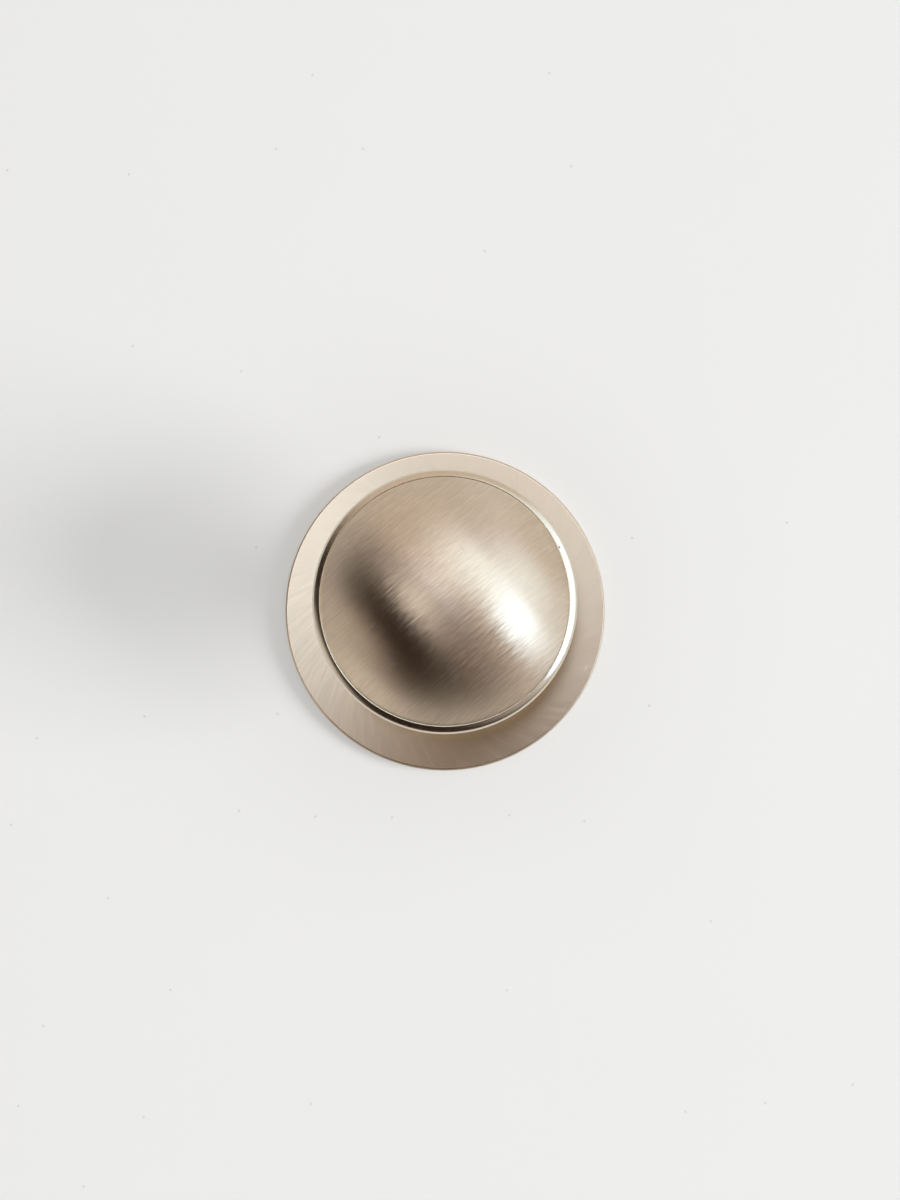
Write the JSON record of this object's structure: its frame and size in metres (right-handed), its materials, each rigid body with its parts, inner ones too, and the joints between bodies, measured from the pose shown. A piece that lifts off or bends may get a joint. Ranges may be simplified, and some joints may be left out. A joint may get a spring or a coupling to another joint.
{
  "type": "cabinet knob",
  "caption": "Round domed cabinet knob with a bevelled rim, slim neck and tapered foot, seated on a thin round backplate; a tapped hole in its back takes the fixing screw.",
  "frame": {"origin": "centre of the backplate's back face, which lies on the cabinet front", "axes": "+Z out of the cabinet along the knob's axis; +Y towards the top of the picture, +X to its right"},
  "size_m": [0.04, 0.04, 0.0318],
  "materials": {
    "knob_metal": "satin",
    "plate_metal": "satin"
  },
  "bodies": {
    "root": {"knob": "knob_metal", "backplate": "plate_metal"}
  },
  "joints": []
}
